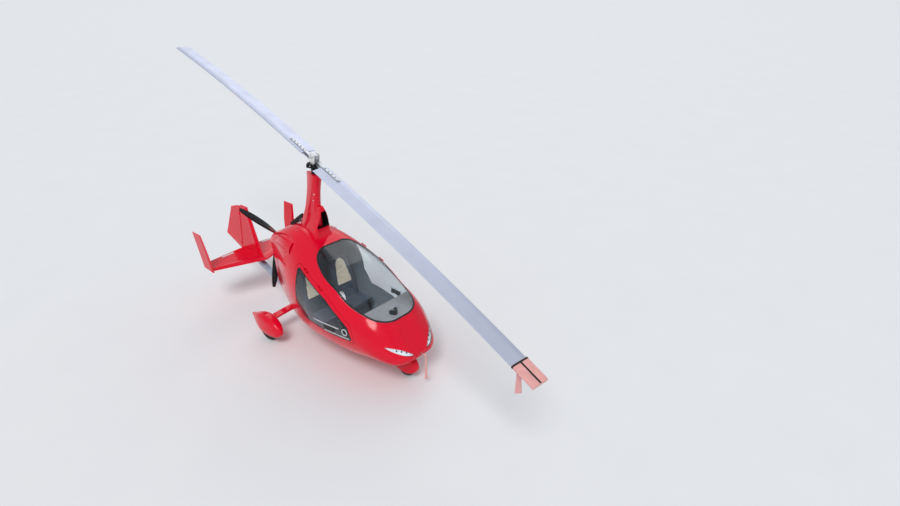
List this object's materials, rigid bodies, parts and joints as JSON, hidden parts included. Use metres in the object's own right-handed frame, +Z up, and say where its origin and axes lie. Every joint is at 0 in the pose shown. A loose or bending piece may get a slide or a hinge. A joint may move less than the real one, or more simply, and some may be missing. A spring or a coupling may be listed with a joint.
{
  "type": "gyrocopter",
  "caption": "Closed-cabin gyrocopter with a tilting teetering rotor, a pusher propeller, top-hinged doors, a steered nose wheel and a rudder.",
  "frame": {"origin": "on the ground below the rotor head, at the middle of the bounding box's base", "axes": "+X to the nose, +Y to port, +Z up"},
  "size_m": [8.1395, 1.7072, 3.7621],
  "materials": {
    "red_paint": "gloss",
    "spat_paint": "gloss",
    "screen_glass": "clear",
    "lamp_glass": "clear",
    "grey_plastic": "matte",
    "dark_plastic": "matte",
    "seat_fabric": "woven",
    "boom_paint": "satin",
    "steel": "brushed",
    "head_metal": "machined",
    "blade_metal": "satin",
    "tyre_rubber": "matte",
    "rim_metal": "satin",
    "engine_metal": "cast",
    "prop_black": "gloss",
    "cover_fabric": "woven"
  },
  "bodies": {
    "airframe": {"cabin_shell": "red_paint", "cabin_tub": "red_paint", "windscreen": "screen_glass", "nose_lamps": "lamp_glass", "door_hinges": "steel", "engine_cowl": "red_paint", "firewall": "grey_plastic", "cabin_floor": "dark_plastic", "steering_deck": "steel", "seat_bases": "dark_plastic", "seat_cushions": "seat_fabric", "seat_backs": "seat_fabric", "instrument_panel": "grey_plastic", "compass": "dark_plastic", "centre_console": "dark_plastic", "control_sticks": "dark_plastic", "rudder_pedals": "steel", "engine_block": "engine_metal", "engine_mount": "steel", "pylon_fairing": "red_paint", "pylon_brace": "dark_plastic", "air_scoops": "red_paint", "mast": "steel", "tail_plane": "red_paint", "winglets": "red_paint", "tail_boom": "boom_paint", "tail_fin": "red_paint", "gear_bow": "red_paint", "main_spats": "spat_paint", "pitot_tube": "steel", "pitot_cover": "cover_fabric", "pitot_ribbon": "cover_fabric"},
    "door_left": {"door_left_frame": "red_paint", "door_left_glass": "screen_glass"},
    "door_right": {"door_right_frame": "red_paint", "door_right_glass": "screen_glass"},
    "wheel_left": {"wheel_left_rim": "rim_metal", "wheel_left_tyre": "tyre_rubber"},
    "wheel_right": {"wheel_right_rim": "rim_metal", "wheel_right_tyre": "tyre_rubber"},
    "nose_steer": {"nose_fork": "steel", "nose_axle": "steel", "nose_spat": "spat_paint"},
    "nose_wheel": {"nose_rim": "rim_metal", "nose_tyre": "tyre_rubber"},
    "rudder": {"rudder": "red_paint"},
    "propeller": {"propeller_hub": "head_metal", "propeller_blades": "prop_black"},
    "gimbal": {"head_gimbal": "steel"},
    "rotor_head": {"bearing_head": "head_metal"},
    "rotor_tower": {"teeter_tower": "head_metal"},
    "rotor": {"hub_bar": "blade_metal", "blade_forward": "blade_metal", "blade_aft": "blade_metal", "tip_cover": "cover_fabric", "tip_ribbon": "cover_fabric"}
  },
  "joints": [
    {"name": "door_left_hinge", "type": "hinge", "parent": "airframe", "child": "door_left", "pos_m": [0.41308, 0.54806, 1.27972], "axis": [0.9144, 0.0919, -0.3942], "range_deg": [0, 70]},
    {"name": "door_right_hinge", "type": "hinge", "parent": "airframe", "child": "door_right", "pos_m": [0.41308, -0.54806, 1.27972], "axis": [-0.9144, 0.0919, 0.3942], "range_deg": [0, 70]},
    {"name": "wheel_left_spin", "type": "hinge", "parent": "airframe", "child": "wheel_left", "pos_m": [-0.57, 0.735, 0.19], "axis": [0, 1, 0], "continuous": true},
    {"name": "wheel_right_spin", "type": "hinge", "parent": "airframe", "child": "wheel_right", "pos_m": [-0.57, -0.735, 0.19], "axis": [0, 1, 0], "continuous": true},
    {"name": "rudder_turn", "type": "hinge", "parent": "airframe", "child": "rudder", "pos_m": [-2.3, 0, 0.69], "axis": [0.1379, 0, 0.9904], "range_deg": [-25, 25]},
    {"name": "nose_steer_turn", "type": "hinge", "parent": "airframe", "child": "nose_steer", "pos_m": [1.606, 0, 0.4], "axis": [0, 0, -1], "range_deg": [-25, 25]},
    {"name": "nose_wheel_spin", "type": "hinge", "parent": "nose_steer", "child": "nose_wheel", "pos_m": [1.586, 0, 0.16], "axis": [0, 1, 0], "continuous": true},
    {"name": "propeller_spin", "type": "hinge", "parent": "airframe", "child": "propeller", "pos_m": [-1.1, 0, 1.29], "axis": [1, 0, 0], "continuous": true},
    {"name": "head_roll", "type": "hinge", "parent": "airframe", "child": "gimbal", "pos_m": [-0.008, 0, 2.591], "axis": [1, 0, 0], "range_deg": [-8, 8]},
    {"name": "head_pitch", "type": "hinge", "parent": "gimbal", "child": "rotor_head", "pos_m": [-0.008, 0, 2.591], "axis": [0, -1, 0], "range_deg": [0, 18]},
    {"name": "rotor_spin", "type": "hinge", "parent": "rotor_head", "child": "rotor_tower", "pos_m": [-0.008, 0, 2.591], "axis": [0.1392, 0, 0.9903], "continuous": true},
    {"name": "rotor_teeter", "type": "hinge", "parent": "rotor_tower", "child": "rotor", "pos_m": [0.01844, 0, 2.77915], "axis": [-0.1035, -0.9945, 0.0145], "range_deg": [0, 16.4]}
  ],
  "couplings": [
    {"joint": "nose_steer_turn", "follows": "rudder_turn", "ratio": 1}
  ]
}
